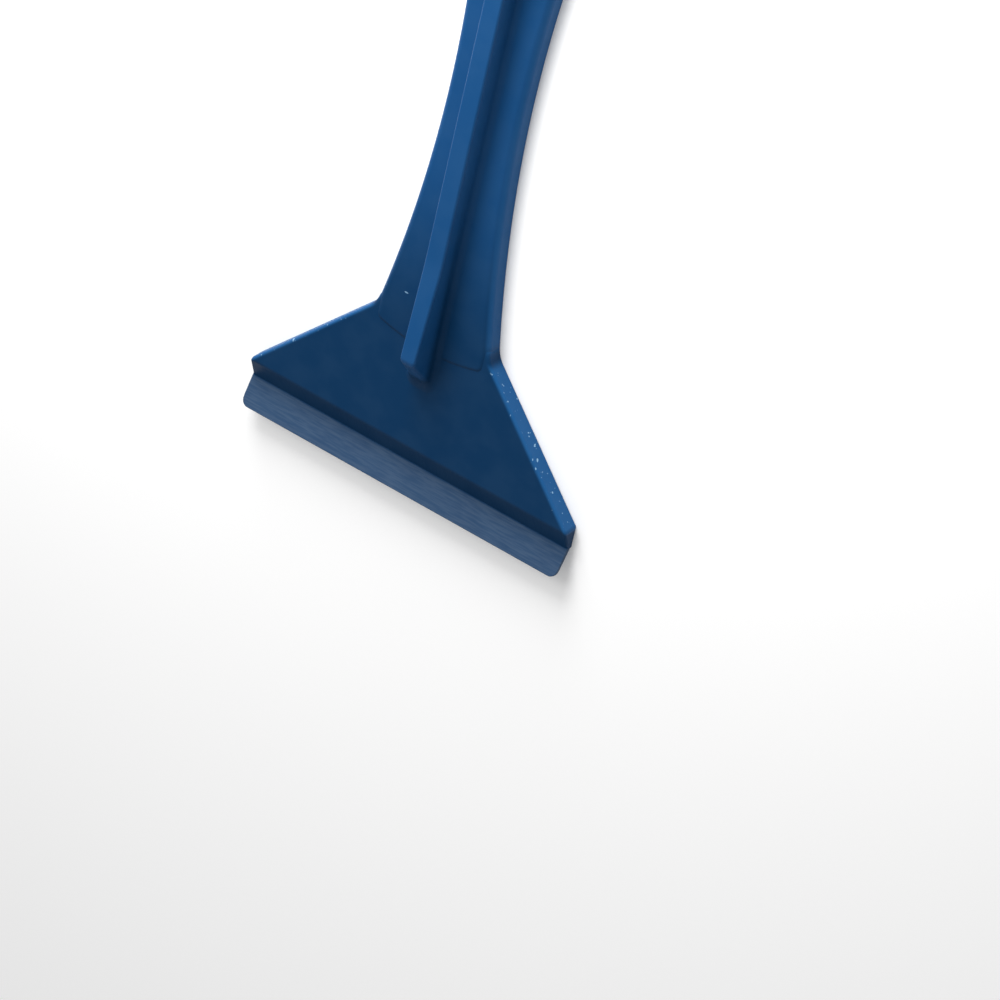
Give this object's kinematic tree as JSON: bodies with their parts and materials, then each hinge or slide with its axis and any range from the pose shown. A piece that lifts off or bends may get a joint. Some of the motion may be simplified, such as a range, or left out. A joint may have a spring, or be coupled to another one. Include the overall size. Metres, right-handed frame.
{
  "type": "spudger tool",
  "caption": "Plastic prying tool with a wide fish-tail blade and a thin tilted lip, a waisted ribbed handle, and a narrow chisel blade at the handle's other end.",
  "frame": {"origin": "centre of the bottom face of the bounding box, with the tool lying on its flat back", "axes": "+Z out of the ribbed front, +Y along the handle from the wide blade to the narrow one, +X across the blades"},
  "size_m": [0.0466, 0.1082, 0.0069],
  "materials": {
    "blue_plastic": "fine satin moulded nylon, dark blue"
  },
  "bodies": {
    "root": {"head_plate": "blue_plastic", "wide_bevel": "blue_plastic", "wide_blade": "blue_plastic", "handle_web": "blue_plastic", "front_rib": "blue_plastic", "narrow_plate": "blue_plastic", "narrow_bevel": "blue_plastic", "narrow_blade": "blue_plastic"}
  },
  "joints": []
}
